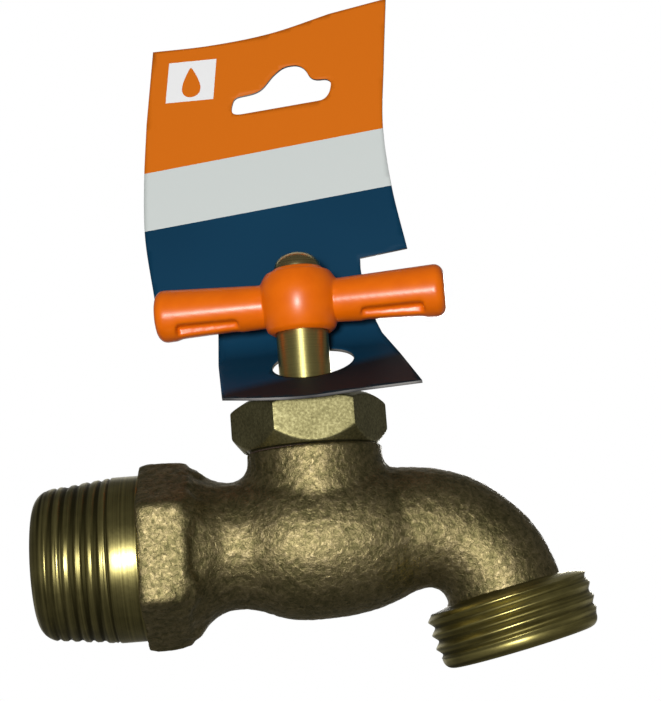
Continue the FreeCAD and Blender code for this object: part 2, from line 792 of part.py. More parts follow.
pieces = {
    "valve_body": valve_body,
    "bonnet": bonnet,
    "bonnet_gasket": bonnet_gasket,
    "stem_seal": stem_seal,
    "stem": stem,
    "washer_holder": washer_holder,
    "seat_washer": seat_washer,
    "washer_screw": washer_screw,
    "handle": handle,
    "handle_screw": handle_screw,
    "hang_card": hang_card,
}

os.makedirs("parts", exist_ok=True)
for name, make in pieces.items():
    shape = make()
    solids = shape.Solids
    print(name, "solids", len(solids), "valid", shape.isValid(), "volume", round(shape.Volume, 1))
    solid = solids[0] if len(solids) == 1 else shape
    solid.exportStep("parts/" + name + ".step")
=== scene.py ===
import math

import bmesh
import bpy
import numpy as np
from mathutils import Matrix, Vector
from mathutils.geometry import delaunay_2d_cdt


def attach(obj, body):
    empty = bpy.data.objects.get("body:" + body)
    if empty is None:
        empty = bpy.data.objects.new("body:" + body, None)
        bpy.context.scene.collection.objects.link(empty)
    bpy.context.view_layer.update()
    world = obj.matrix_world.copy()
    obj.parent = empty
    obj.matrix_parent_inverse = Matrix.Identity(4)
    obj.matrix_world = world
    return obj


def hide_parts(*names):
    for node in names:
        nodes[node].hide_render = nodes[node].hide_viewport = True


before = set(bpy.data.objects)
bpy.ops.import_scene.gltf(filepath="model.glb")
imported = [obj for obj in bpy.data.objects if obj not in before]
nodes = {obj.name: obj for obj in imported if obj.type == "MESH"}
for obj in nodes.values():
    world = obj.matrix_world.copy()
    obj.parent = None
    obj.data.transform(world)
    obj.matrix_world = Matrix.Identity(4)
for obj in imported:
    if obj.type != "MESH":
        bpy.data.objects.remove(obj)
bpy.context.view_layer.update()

# Valve body
# The real one is a sand casting in bronze: inlet hexagon, waist, globe, neck and bent spout in one pour.
# Its skin is left as it came out of the sand, dimpled and browned, and only the two threads are machined.

MM = 0.001
INLET_LAND_R = 13.335
INLET_LAND_END = -4.3
INLET_END_R = 8.9
THREAD_UNDERCUT = 1.9
UNDERCUT_FALL = 0.1104
THREAD_LENGTH_SHARE = 0.955
OUTLET_START = np.array([58.062, 0.0, -10.008])
OUTLET_LEAN = math.radians(77.8)
OUTLET_WAY = np.array([math.cos(OUTLET_LEAN), 0.0, -math.sin(OUTLET_LEAN)])
OUTLET_UNDER_R = 11.2
OUTLET_UNDER_END = 8.6
BODY_NET = 0.42
NECK_X = 15.0
NECK_RIM_FADE = (14.9, 14.3)
WAIST_X = 14.0
FLAT_SET_BACK = 1.3
FLAT_FADE = (10.9, 12.5)
CORNER_SET_BACK = 0.6
CORNER_FADE = (13.0, 14.5)
REAR_FADE = (5.0, 7.5)
RIDGE_FADE = (13.4, 14.6)
RIDGE_START_FADE = (-0.5, 0.0)
FRONT_WEAR = 0.25
FRONT_WEAR_FADE = (1.3, 0.0)
REAR_WEAR_BELOW = 0.75
REAR_WEAR_ABOVE = 0.3
REAR_WEAR_FADE = (4.0, 8.5)
HEXAGON_SKIN_FADE = (12.6, 13.2)
HEXAGON_END_FADE = (9.5, 7.5)
SPOUT_ROOT_FADE_IN = (41.0, 44.0)
SPOUT_ROOT_FADE_OUT = (55.0, 51.0)
SKIN_DEPTH = 0.10


def points_of(mesh):
    """The vertices as rows of x, y and z in millimetres."""
    flat = np.empty(len(mesh.vertices) * 3, np.float32)
    mesh.vertices.foreach_get("co", flat)
    return flat.reshape(-1, 3).astype(float) / MM


def put_points(mesh, points):
    """Rows of millimetres back into the mesh."""
    mesh.vertices.foreach_set("co", (points * MM).astype(np.float32).ravel())
    mesh.update()


def welded_copy(node, name):
    """A copy of a CAD node's mesh with its loose triangles joined into one skin."""
    mesh = nodes[node].data.copy()
    mesh.name = name
    mesh.materials.clear()
    shell = bmesh.new()
    shell.from_mesh(mesh)
    bmesh.ops.remove_doubles(shell, verts=shell.verts, dist=0.002 * MM)
    shell.to_mesh(mesh)
    shell.free()
    return mesh


def even_net(mesh, pitch):
    """The same solid covered by a net of small quads, pitch millimetres wide."""
    block = bpy.data.objects.new(mesh.name, mesh)
    bpy.context.scene.collection.objects.link(block)
    remesh = block.modifiers.new("even_net", "REMESH")
    remesh.mode = "VOXEL"
    remesh.voxel_size = pitch * MM
    graph = bpy.context.evaluated_depsgraph_get()
    net = bpy.data.meshes.new_from_object(block.evaluated_get(graph))
    bpy.data.objects.remove(block)
    return net


def relaxed(mesh, points, rounds, share_each=1.0, back=-0.52):
    """Each point goes half the way to the mean of its neighbours and back by a hair more, which rounds
    sharp edges and takes out the net's steps without making the piece smaller. Where share_each is a
    number for each point, the point moves by that share. With back at 0, edges are worn away instead."""
    share_each = np.broadcast_to(share_each, len(points))[:, None]
    ends = np.empty(len(mesh.edges) * 2, np.int32)
    mesh.edges.foreach_get("vertices", ends)
    first, second = ends.reshape(-1, 2).T
    total = len(points)
    count = np.bincount(np.concatenate([first, second]), minlength=total)
    for share in [0.5, back] * rounds:
        mean = np.stack(
            [
                np.bincount(first, points[second, k], total) + np.bincount(second, points[first, k], total)
                for k in range(3)
            ],
            axis=1,
        )
        points = points + share * share_each * (mean / count[:, None] - points)
    return points


def grain(points, size, seed):
    """Smooth noise from 0 to 1: a random number at each corner of cubes of that size, and between the
    corners their mean weighted by t * t * (3 - 2 * t) along each axis."""
    dice = np.random.default_rng(seed).random((32, 32, 32))
    place = points / size + 1000.0
    cell = np.floor(place).astype(int)
    t = place - cell
    t = t * t * (3 - 2 * t)
    value = np.zeros(len(points))
    for corner in np.ndindex(2, 2, 2):
        weight = np.prod(np.where(np.array(corner) == 1, t, 1 - t), axis=1)
        i, j, k = ((cell + corner) % 32).T
        value += weight * dice[i, j, k]
    return value


def normals_of(mesh):
    """Each vertex's outward direction."""
    flat = np.empty(len(mesh.vertices) * 3, np.float32)
    mesh.vertices.foreach_get("normal", flat)
    return flat.reshape(-1, 3).astype(float)


def fade(value, start, end):
    """0 before start, 1 past end and t * t * (3 - 2 * t) between, where t is the share of the way from
    start to end. The end may be the smaller of the two."""
    t = np.clip((value - start) / (end - start), 0, 1)
    return t * t * (3 - 2 * t)


def put_value(mesh, name, values):
    """One number for each vertex, which a material reads by its name."""
    mesh.attributes.new(name, "FLOAT", "POINT").data.foreach_set("value", values.astype(np.float32))


def new_piece(name, mesh, materials, body, stands_for=()):
    """The mesh as a piece with its materials, riding on its body."""
    piece = bpy.data.objects.new(name, mesh)
    bpy.context.scene.collection.objects.link(piece)
    for material in materials:
        mesh.materials.append(material)
    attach(piece, body)
    if stands_for:
        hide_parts(*stands_for)
    return piece


def feed(tree, node, inputs):
    """Values or links into a node's inputs, by name or number."""
    for key, value in inputs.items():
        if isinstance(value, bpy.types.NodeSocket):
            tree.links.new(value, node.inputs[key])
        else:
            node.inputs[key].default_value = value


def add_node(tree, kind, inputs=None, **settings):
    """A node with its settings, then its inputs."""
    made = tree.nodes.new(kind)
    for key, value in settings.items():
        setattr(made, key, value)
    feed(tree, made, inputs or {})
    return made


def ramp(tree, factor, stops):
    """Colours along a factor: each stop is a place and a colour."""
    made = add_node(tree, "ShaderNodeValToRGB", {"Fac": factor})
    band = made.color_ramp
    while len(band.elements) < len(stops):
        band.elements.new(0.5)
    for element, (place, colour) in zip(band.elements, stops):
        element.position = place
        element.color = (*colour, 1)
    return made.outputs["Color"]


def math_node(tree, operation, first, second=0.0, third=0.0):
    """One sum of numbers or links."""
    return add_node(tree, "ShaderNodeMath", {0: first, 1: second, 2: third}, operation=operation).outputs[0]


def relief(tree, strength, distance, height):
    """The normal of a relief from 0 to that distance in metres, as the height goes from 0 to 1."""
    made = add_node(tree, "ShaderNodeBump", {"Strength": strength, "Distance": distance, "Height": height})
    return made.outputs["Normal"]


def new_material(name):
    """An empty material with its surface shader."""
    made = bpy.data.materials.new(name)
    made.use_nodes = True
    tree = made.node_tree
    tree.nodes.clear()
    shader = add_node(tree, "ShaderNodeBsdfPrincipled")
    output = add_node(tree, "ShaderNodeOutputMaterial")
    tree.links.new(shader.outputs["BSDF"], output.inputs["Surface"])
    return made, tree, shader


def new_effect(name, inputs, outputs):
    """An empty node group with float inputs, given with their values, and float outputs."""
    group = bpy.data.node_groups.new(name, "ShaderNodeTree")
    for label, value in inputs.items():
        group.interface.new_socket(label, in_out="INPUT", socket_type="NodeSocketFloat").default_value = value
    for label in outputs:
        group.interface.new_socket(label, in_out="OUTPUT", socket_type="NodeSocketFloat")
    return group, add_node(group, "NodeGroupInput").outputs, add_node(group, "NodeGroupOutput").inputs


def use_effect(tree, group, **inputs):
    """The group placed in a material with its own values."""
    made = add_node(tree, "ShaderNodeGroup", node_tree=group)
    for key, value in inputs.items():
        made.inputs[key.replace("_", " ")].default_value = value
    return made.outputs


speckle, given, result = new_effect(
    "speckle", {"Per metre": 1500.0, "Roughness": 0.6, "Swirl": 0.0}, ["Fine", "Broad"]
)
where = add_node(speckle, "ShaderNodeTexCoord").outputs["Object"]
fine = add_node(
    speckle,
    "ShaderNodeTexNoise",
    {
        "Vector": where,
        "Scale": given["Per metre"],
        "Detail": 4.0,
        "Roughness": given["Roughness"],
        "Distortion": given["Swirl"],
    },
)
broad_scale = math_node(speckle, "MULTIPLY", given["Per metre"], 0.09)
broad = add_node(speckle, "ShaderNodeTexNoise", {"Vector": where, "Scale": broad_scale, "Detail": 2.0})
speckle.links.new(fine.outputs["Fac"], result["Fine"])
speckle.links.new(broad.outputs["Fac"], result["Broad"])


cast_bronze, tree, shader = new_material("cast_bronze")
skin = add_node(tree, "ShaderNodeAttribute", attribute_name="skin_height").outputs["Fac"]
sand = use_effect(tree, speckle, Per_metre=1500.0, Roughness=0.66, Swirl=0.9)
# The colour follows the skin's dimples, lighter on the raised points and darker in the pits: partly oxide in
# the pits, partly painted highlight and shade of the relief.
mixed = math_node(tree, "MULTIPLY_ADD", sand["Fine"], 0.85, math_node(tree, "MULTIPLY", skin, 0.14))
mixed = math_node(tree, "MULTIPLY_ADD", sand["Broad"], 0.22, math_node(tree, "SUBTRACT", mixed, 0.105))
colour = ramp(
    tree,
    mixed,
    [
        (0.28, (0.086, 0.077, 0.031)),
        (0.42, (0.155, 0.133, 0.056)),
        (0.58, (0.260, 0.210, 0.100)),
        (0.74, (0.400, 0.325, 0.175)),
    ],
)
rough = math_node(tree, "MULTIPLY_ADD", sand["Fine"], -0.20, 0.59)
bumps = relief(tree, 0.8, 0.00016, sand["Fine"])
feed(tree, shader, {"Base Color": colour, "Roughness": rough, "Metallic": 1.0, "Normal": bumps})


def under_inlet_thread(points):
    """Points on the inlet's thread moved in below its roots: radius = crest radius - undercut. All of the
    inlet is shortened a little, to stay inside the thread's own mesh."""
    radius = np.hypot(points[:, 1], points[:, 2])
    crest = INLET_LAND_R + np.clip(points[:, 0] - INLET_LAND_END, -12, 0) * UNDERCUT_FALL
    outside = (points[:, 0] < 0.02) & (radius > INLET_END_R) & (radius < INLET_LAND_R + 0.025)
    squeeze = np.where(outside, np.minimum(1, (crest - THREAD_UNDERCUT) / np.maximum(radius, 1)), 1)
    points[:, 1:] *= squeeze[:, None]
    points[:, 0] = np.where(points[:, 0] < -1, points[:, 0] * THREAD_LENGTH_SHARE, points[:, 0])
    return points


def under_hose_thread(points):
    """Points on the hose thread moved in to one radius below its roots, and back from its end."""
    from_start = points - OUTLET_START
    along = from_start @ OUTLET_WAY
    across = from_start - along[:, None] * OUTLET_WAY
    radius = np.linalg.norm(across, axis=1)
    outside = (along > -0.02) & (along < 10) & (radius > 8.5) & (radius < 14)
    across = across * np.where(outside, np.minimum(1, OUTLET_UNDER_R / np.maximum(radius, 1)), 1)[:, None]
    moved = OUTLET_START + np.minimum(along, OUTLET_UNDER_END)[:, None] * OUTLET_WAY + across
    return np.where(outside[:, None], moved, points)


def worn_hexagon(points):
    """The inlet's hexagon as cast: its rear edge set back behind the flats and less behind the corners,
    and the corners' ridges lowered at both ends. Each amount fades in by smooth steps."""
    radius = np.hypot(points[:, 1], points[:, 2])
    x = points[:, 0].copy()
    off_corner = fade(np.cos(6 * np.arctan2(points[:, 2], points[:, 1])), -1, 0.4)
    set_back = FLAT_SET_BACK * off_corner * fade(radius, *FLAT_FADE)
    set_back += CORNER_SET_BACK * (1 - off_corner) * fade(radius, *CORNER_FADE)
    x -= set_back * fade(x, *REAR_FADE) * (x < WAIST_X)
    ridge = (1 - off_corner) * fade(radius, *RIDGE_FADE) * fade(x, *RIDGE_START_FADE)
    worn = np.where(points[:, 2] < 0, REAR_WEAR_BELOW, REAR_WEAR_ABOVE) * fade(x, *REAR_WEAR_FADE)
    worn = (FRONT_WEAR * fade(x, *FRONT_WEAR_FADE) + worn) * (x < WAIST_X)
    points[:, 0] = x
    points[:, 1:] *= (1 - ridge * worn / np.maximum(radius, 1))[:, None]
    return points


skin_mesh = welded_copy("valve_body", "casting")
put_points(skin_mesh, under_hose_thread(under_inlet_thread(points_of(skin_mesh))))
skin_mesh = even_net(skin_mesh, BODY_NET)
points = points_of(skin_mesh)
below_rim = np.where(points[:, 0] > NECK_X, fade(points[:, 2], *NECK_RIM_FADE), 1.0)
points = relaxed(skin_mesh, worn_hexagon(points), 3, below_rim)
round_rim = relaxed(skin_mesh, points, 6)
points[:, :2] += (round_rim - points)[:, :2] * (1 - below_rim)[:, None]
inlet_r = np.hypot(points[:, 1], points[:, 2])
on_hexagon = fade(inlet_r, *HEXAGON_SKIN_FADE) * fade(points[:, 0], *HEXAGON_END_FADE)
points = relaxed(skin_mesh, points, 9, on_hexagon, 0.0)
spout_root = fade(points[:, 0], *SPOUT_ROOT_FADE_IN) * fade(points[:, 0], *SPOUT_ROOT_FADE_OUT)
points = relaxed(skin_mesh, points, 36, spout_root * below_rim, 0.0)
put_points(skin_mesh, points)
dimples = 0.55 * grain(points, 0.78, 4) + 0.45 * grain(points, 0.46, 5)
dimples = fade(dimples, 0.2, 0.8)
points = points - normals_of(skin_mesh) * ((1 - dimples) * SKIN_DEPTH * below_rim)[:, None]
put_points(skin_mesh, points)
put_value(skin_mesh, "skin_height", dimples)
skin_mesh.shade_smooth()
new_piece("casting", skin_mesh, [cast_bronze], "root", ["valve_body"])


# Inlet pipe thread
# The casting's own metal, turned to a plain land and cut with a taper thread, 14 turns an inch.
# The cutter leaves it bright, with fine rings and a rounded nose.

TURN_SAMPLES = 252
INLET_PITCH = 25.4 / 14
INLET_CREST_DROP = 1.155
INLET_CREST_RUN = 10.46
INLET_DEPTH = 0.31
INLET_UNEVEN = 0.9
INLET_GROOVE_X = -4.55
INLET_GROOVE_HALF = 0.24
INLET_GROOVE_SHARE = 0.9
INLET_NOSE_X = -13.9
INLET_NOSE_DROP = 2.5
INLET_END = -16.86
INLET_BORE_R = 7.95
BEHIND_SHOULDER = 0.35
BORE_RINGS = 4
BORE_TARNISH_AND_SHADE = 0.6


def ring_mesh(name, rings, poles=False):
    """Quads between neighbouring points of a grid of rings, each ring closed. The first and the last ring
    are joined, or with poles each of the two is one point with a fan of triangles round it."""
    count, around = rings.shape[:2]
    here = np.arange(around)
    after = np.roll(here, -1)
    if poles:
        places = np.concatenate([rings[0, :1], rings[1:-1].reshape(-1, 3), rings[-1, :1]])
        low = 1 + np.arange(count - 3)[:, None] * around
        high = low + around
        last = len(places) - 1
        start = [(0, 1 + b, 1 + a) for a, b in zip(here, after)]
        end = [(last, last - around + a, last - around + b) for a, b in zip(here, after)]
    else:
        places = rings.reshape(-1, 3)
        low = np.arange(count)[:, None] * around
        high = np.roll(np.arange(count), -1)[:, None] * around
        start, end = [], []
    quads = np.stack([low + here, low + after, high + after, high + here], axis=-1).reshape(-1, 4)
    mesh = bpy.data.meshes.new(name)
    mesh.from_pydata((places * MM).tolist(), [], start + quads.tolist() + end)
    mesh.validate()
    mesh.shade_smooth()
    return mesh


def facing_out(mesh):
    """The same mesh with its faces turned outwards."""
    shell = bmesh.new()
    shell.from_mesh(mesh)
    bmesh.ops.recalc_face_normals(shell, faces=shell.faces)
    shell.to_mesh(mesh)
    shell.free()
    return mesh


def turns():
    """The angles round an axis, without the last, which is the first again."""
    return np.linspace(0, 2 * math.pi, TURN_SAMPLES, endpoint=False)


def thread_wave(phase, crest_share, root_share):
    """Depth from 0 at the crest to 1 at the root, by the phase in turns: flat crest and root, straight
    flanks between them, with their corners a little eased."""
    away = np.abs((phase + 0.5) % 1 - 0.5) * 2
    slope = (away - crest_share) / (1 - crest_share - root_share)
    return fade(slope, 0, 1) * 0.2 + np.clip(slope, 0, 1) * 0.8


turning, given, result = new_effect(
    "turning_lines", {"Per metre": 9000.0, "X": 0.0, "Y": 0.0, "Z": 1.0}, ["Height"]
)
where = add_node(turning, "ShaderNodeTexCoord").outputs["Object"]
axis = add_node(turning, "ShaderNodeCombineXYZ", {0: given["X"], 1: given["Y"], 2: given["Z"]}).outputs[0]
along_axis = add_node(turning, "ShaderNodeVectorMath", {0: where, 1: axis}, operation="DOT_PRODUCT")
lines = add_node(
    turning,
    "ShaderNodeTexNoise",
    {"W": along_axis.outputs["Value"], "Scale": given["Per metre"], "Detail": 3.0},
    noise_dimensions="1D",
)
turning.links.new(lines.outputs["Fac"], result["Height"])


def mixed_colour(tree, share, first, second):
    """The first colour where the share is 0 and the second where it is 1."""
    made = add_node(tree, "ShaderNodeMix", {0: share, 6: first, 7: second}, data_type="RGBA")
    return made.outputs[2]


def turned_brass(name, colour, dull_colour, roughness, axis, lines_per_metre, depth):
    """Brass off the lathe: fine rings across the axis, with duller and darker patches, and a thread's roots
    darkened by old oil and tarnish and by painted shade."""
    made, tree, shader = new_material(name)
    patch = use_effect(tree, speckle, Per_metre=2600.0, Roughness=0.5)
    rings = use_effect(tree, turning, Per_metre=lines_per_metre, X=axis[0], Y=axis[1], Z=axis[2])["Height"]
    both = math_node(tree, "MULTIPLY_ADD", rings, 0.65, math_node(tree, "MULTIPLY", patch["Broad"], 0.35))
    tone = ramp(tree, both, [(0.34, dull_colour), (0.60, colour)])
    root = add_node(tree, "ShaderNodeAttribute", attribute_name="root_tarnish_and_shade").outputs["Fac"]
    # Darker in a thread's roots and in the bore: old oil and tarnish, with painted shade on top.
    tone = mixed_colour(tree, root, tone, (*[0.30 * part for part in dull_colour], 1))
    rough = math_node(tree, "MULTIPLY_ADD", patch["Fine"], 0.12, roughness - 0.06)
    rough = math_node(tree, "MULTIPLY_ADD", root, 0.25, rough)
    lines = relief(tree, 0.35, depth, rings)
    feed(tree, shader, {"Base Color": tone, "Roughness": rough, "Metallic": 1.0, "Normal": lines})
    return made


def with_bore(outer_r, inner):
    """The radii of the outer rings, then those of the bore's rings, each the same all the way round."""
    return np.concatenate([outer_r, np.repeat(inner[:, 1:], TURN_SAMPLES, axis=1)])


def put_roots(mesh, cut):
    """How deep each vertex lies in the thread, which sets how much tarnish and painted shade darken it, and
    one middling amount of both for the bore's rings.
    """
    bore = np.full((BORE_RINGS, TURN_SAMPLES), BORE_TARNISH_AND_SHADE)
    put_value(mesh, "root_tarnish_and_shade", np.concatenate([cut, bore]).ravel())


inlet_brass = turned_brass(
    "inlet_brass", (0.40, 0.344, 0.127), (0.15, 0.130, 0.045), 0.33, (1, 0, 0), 1900.0, 0.000012
)
outer_x = np.concatenate(
    [
        [BEHIND_SHOULDER],
        np.linspace(0, -4.1, 6),
        np.linspace(-4.2, -14.0, 150),
        np.linspace(-14.1, INLET_END, 26),
    ]
)
crest_fall = INLET_CREST_DROP / INLET_CREST_RUN
straight_crest = INLET_LAND_R + np.clip(outer_x - INLET_LAND_END, -12.6, 0) * crest_fall
nose = np.clip((INLET_NOSE_X - outer_x) / (INLET_NOSE_X - INLET_END), 0, 1)
nose_r = straight_crest - INLET_NOSE_DROP * (1 - np.sqrt(1 - nose**2 * 0.96))
crest_r = np.where(outer_x < INLET_NOSE_X, nose_r, straight_crest)
angle = turns()
phase = (outer_x[:, None] + INLET_PITCH * angle / (2 * math.pi)) / INLET_PITCH
past_land = fade(outer_x, INLET_LAND_END, INLET_LAND_END - 1.3)
cut = (past_land * (1 - 0.5 * fade(nose, 0, 1)))[:, None] * thread_wave(phase, 0.30, 0.10)
each_x, each_angle = np.meshgrid(outer_x, angle, indexing="ij")
round_places = np.stack([each_x, 0.7 * np.cos(each_angle), 0.7 * np.sin(each_angle)], axis=-1)
uneven = grain(round_places.reshape(-1, 3), 0.55, 7).reshape(cut.shape) - 0.5
uneven *= fade(outer_x, INLET_LAND_END, INLET_LAND_END - 1.0)[:, None]
cut = np.clip(cut + INLET_UNEVEN * uneven, 0, 1)
groove = INLET_GROOVE_SHARE * np.exp(-(((outer_x - INLET_GROOVE_X) / INLET_GROOVE_HALF) ** 2))
cut = np.maximum(cut, groove[:, None])
outer_r = np.minimum(crest_r[:, None], straight_crest[:, None] - cut * INLET_DEPTH)
inner = np.array(
    [(INLET_END, INLET_END_R), (-16.1, INLET_BORE_R), (-8.0, INLET_BORE_R), (BEHIND_SHOULDER, INLET_BORE_R)]
)
x = np.repeat(np.concatenate([outer_x, inner[:, 0]])[:, None], TURN_SAMPLES, axis=1)
r = with_bore(outer_r, inner)
thread_mesh = ring_mesh("inlet_thread", np.stack([x, -r * np.cos(angle), -r * np.sin(angle)], axis=-1))
put_roots(facing_out(thread_mesh), cut)
new_piece("inlet_thread", thread_mesh, [inlet_brass], "root")


# Hose thread
# Cut on the spout's end: a hose thread, 11.5 turns an inch, that starts out of the casting as a thin fin.
# Its end is chamfered, and the flat rim round the bore is where the hose's washer seats.

OUTLET_SIDE = np.array([math.sin(OUTLET_LEAN), 0.0, math.cos(OUTLET_LEAN)])
OUTLET_CREST_R = 13.45
OUTLET_PITCH = 25.4 / 11.5
OUTLET_DEPTH = 0.78
OUTLET_IN_CASTING = -1.9
OUTLET_END = 9.1
OUTLET_BORE_R = 8.15
FIRST_CREST = 1.1
SHOULDER_LOW_R = 9.0
LAST_TURN_DROP = 0.5
LAST_TURN_FADE = (5.6, 7.5)
END_ROUND_FROM = 7.5
END_ROUND_LENGTH = 1.62
END_ROUND_DROP = 1.5

outlet_brass = turned_brass(
    "outlet_brass", (0.50, 0.430, 0.145), (0.20, 0.172, 0.055), 0.37, tuple(OUTLET_WAY), 1900.0, 0.000010
)
s = np.concatenate(
    [
        np.linspace(OUTLET_IN_CASTING, 0, 24)[:-1],
        np.linspace(0, 7.9, 130),
        np.linspace(8.0, OUTLET_END, 10),
    ]
)
outer_half = (1 - np.cos(angle)) / 2
phase = (s[:, None] - FIRST_CREST + OUTLET_PITCH * angle / (2 * math.pi)) / OUTLET_PITCH
cut = thread_wave(phase, 0.07, 0.10) * (1 - 0.35 * outer_half)
thread_r = OUTLET_CREST_R - OUTLET_DEPTH * cut
rise = np.clip((s[:, None] + 1.0 - 0.4 * outer_half) / (1.1 + 0.4 * outer_half), 0, 1)
lump = np.sqrt(1 - (1 - rise) ** 2)
height = rise**2.4 * (1 - outer_half) + lump * outer_half
shoulder = SHOULDER_LOW_R + (OUTLET_CREST_R - SHOULDER_LOW_R) * height
end_round = np.clip((s - END_ROUND_FROM) / END_ROUND_LENGTH, 0, 1)
end_drop = LAST_TURN_DROP * fade(s, *LAST_TURN_FADE) + END_ROUND_DROP * (1 - np.sqrt(1 - end_round**2))
end_r = OUTLET_CREST_R - end_drop
outer_r = np.minimum(np.minimum(thread_r, shoulder), end_r[:, None])
inner = np.array([(OUTLET_END, 8.7), (8.6, OUTLET_BORE_R), (4.0, OUTLET_BORE_R), (-0.6, OUTLET_BORE_R)])
s = np.concatenate([s, inner[:, 0]])
r = with_bore(outer_r, inner)
inwards = -np.cos(angle)[:, None] * OUTLET_SIDE - np.sin(angle)[:, None] * np.array([0.0, 1.0, 0.0])
rings = OUTLET_START + s[:, None, None] * OUTLET_WAY + r[:, :, None] * inwards
thread_mesh = ring_mesh("hose_thread", rings)
put_roots(facing_out(thread_mesh), cut**2)
new_piece("hose_thread", thread_mesh, [outlet_brass], "root")


# Bonnet
# A hexagon head turned from brass bar and screwed into the neck, both ends of the hexagon chamfered.
# Its flats are tumbled to a dull satin, and the stem comes up through it.

STEM_X = 28.4
BONNET_LOW = 15.45
BONNET_TOP = 24.0
BONNET_APOTHEM = 11.15
BONNET_TURN = math.radians(3.6)
BONNET_CHAMFER_R = 12.95
BONNET_SHANK_R = 8.9
BONNET_FOOT = 8.05
CORNER_SOFTNESS = 0.07
STEM_BORE_R = 4.38
RING_GROOVE_R = 6.17
RING_GROOVE_TOP = 23.17
RING_GROOVE_LOW = 21.33
NUT_THREAD_R = 5.64
NUT_THREAD_TOP = 20.05
NUT_THREAD_LOW = 11.25
BONNET_CAVITY_R = 7.3

bonnet_brass, tree, shader = new_material("bonnet_brass")
sand = use_effect(tree, speckle, Per_metre=2400.0, Roughness=0.6)
mixed = math_node(tree, "MULTIPLY_ADD", sand["Broad"], 0.3, -0.12)
mixed = math_node(tree, "MULTIPLY_ADD", sand["Fine"], 0.9, mixed)
colour = ramp(
    tree,
    mixed,
    [
        (0.30, (0.135, 0.120, 0.052)),
        (0.50, (0.230, 0.207, 0.094)),
        (0.72, (0.360, 0.330, 0.165)),
    ],
)
rough = math_node(tree, "MULTIPLY_ADD", sand["Fine"], -0.15, 0.58)
bumps = relief(tree, 0.4, 0.00005, sand["Fine"])
feed(tree, shader, {"Base Color": colour, "Roughness": rough, "Metallic": 1.0, "Normal": bumps})


def eased(corners, radius, steps=4, closed=True):
    """An outline with each corner c cut back by the radius to a and b, and rounded by the curve
    (1 - t)^2 a + 2 t (1 - t) c + t^2 b."""
    corner = np.array(corners, float)
    back = np.roll(corner, 1, axis=0) - corner
    ahead = np.roll(corner, -1, axis=0) - corner
    back_length = np.linalg.norm(back, axis=1, keepdims=True)
    ahead_length = np.linalg.norm(ahead, axis=1, keepdims=True)
    a = corner + back * np.minimum(radius / back_length, 0.45)
    b = corner + ahead * np.minimum(radius / ahead_length, 0.45)
    t = np.linspace(0, 1, steps)[None, :, None]
    curve = (1 - t) ** 2 * a[:, None] + 2 * t * (1 - t) * corner[:, None] + t**2 * b[:, None]
    if closed:
        return curve.reshape(-1, 2)
    return np.concatenate([corner[:1], curve[1:-1].reshape(-1, 2), corner[-1:]])


def divided(profile, step):
    """The same outline with more points on its straight runs, so that none is longer than the step."""
    runs = np.linalg.norm(np.diff(profile, axis=0), axis=1)
    at = np.concatenate([[0], np.cumsum(runs)])
    places = [np.linspace(a, b, max(2, math.ceil((b - a) / step) + 1)) for a, b in zip(at[:-1], at[1:])]
    places = np.unique(np.concatenate(places))
    return np.stack([np.interp(places, at, profile[:, k]) for k in (0, 1)], axis=1)


def lathe_rings(profile, squash=None, first_angle=0.0):
    """Rings about the stem's axis from (radius, height) points. Where squash is given, it gives each
    ring's radii from the radius, the height and the angle."""
    angle = turns() + first_angle
    r, z = (np.repeat(profile[:, k, None], TURN_SAMPLES, axis=1) for k in (0, 1))
    if squash:
        r = squash(r, z, angle)
    return np.stack([STEM_X + r * np.cos(angle), r * np.sin(angle), z], axis=-1)


def hexagon_radii(r, z, angle):
    """The head's radii: the smaller of the turned radius and the hexagon's, which is apothem / cos(angle
    from the flat's middle), with a soft change from one to the other."""
    off_flat = (angle - BONNET_TURN) % (math.pi / 3) - math.pi / 6
    flat = BONNET_APOTHEM / np.cos(off_flat)
    cut = -CORNER_SOFTNESS * np.logaddexp(-r / CORNER_SOFTNESS, -flat / CORNER_SOFTNESS)
    return np.where((z > BONNET_LOW - 0.01) & (r > BONNET_SHANK_R + 0.3), cut, r)


head = [(10.8, BONNET_LOW), (BONNET_CHAMFER_R, 18.05), (BONNET_CHAMFER_R, 22.3), (10.0, BONNET_TOP)]
head = divided(eased(head, 0.5, steps=6), 0.16)
ring_groove = [
    (4.45, BONNET_TOP),
    (STEM_BORE_R, 23.9),
    (STEM_BORE_R, RING_GROOVE_TOP),
    (RING_GROOVE_R, RING_GROOVE_TOP),
    (RING_GROOVE_R, RING_GROOVE_LOW),
    (STEM_BORE_R, RING_GROOVE_LOW),
]
nut_thread = [(STEM_BORE_R, NUT_THREAD_TOP), (NUT_THREAD_R, NUT_THREAD_TOP), (NUT_THREAD_R, NUT_THREAD_LOW)]
cavity = [(BONNET_CAVITY_R, NUT_THREAD_LOW), (BONNET_CAVITY_R, BONNET_FOOT)]
shank = [(8.6, BONNET_FOOT), (BONNET_SHANK_R, 8.35), (BONNET_SHANK_R, BONNET_LOW)]
profile = np.concatenate([ring_groove, nut_thread, cavity, shank, head])
bonnet_mesh = facing_out(ring_mesh("bonnet", lathe_rings(profile, hexagon_radii, BONNET_TURN)))
bonnet_mesh.set_sharp_from_angle(angle=math.radians(35))
new_piece("bonnet", bonnet_mesh, [bonnet_brass], "root", ["bonnet"])


# Gasket and O-ring
# A pressed fibre ring under the bonnet's head and a nitrile ring in the bonnet's groove. Both are hidden
# when the tap is together, and their solids are used as they are.

fibre, tree, shader = new_material("fibre")
sand = use_effect(tree, speckle, Per_metre=3000.0, Roughness=0.7)
# Dark brown, and darker than the fibre itself: painted shade standing for the thin shadow line under the
# bonnet's head.
colour = ramp(tree, sand["Fine"], [(0.3, (0.030, 0.016, 0.011)), (0.7, (0.070, 0.038, 0.026))])
bumps = relief(tree, 0.4, 0.00005, sand["Fine"])
feed(tree, shader, {"Base Color": colour, "Roughness": 0.85, "Normal": bumps})

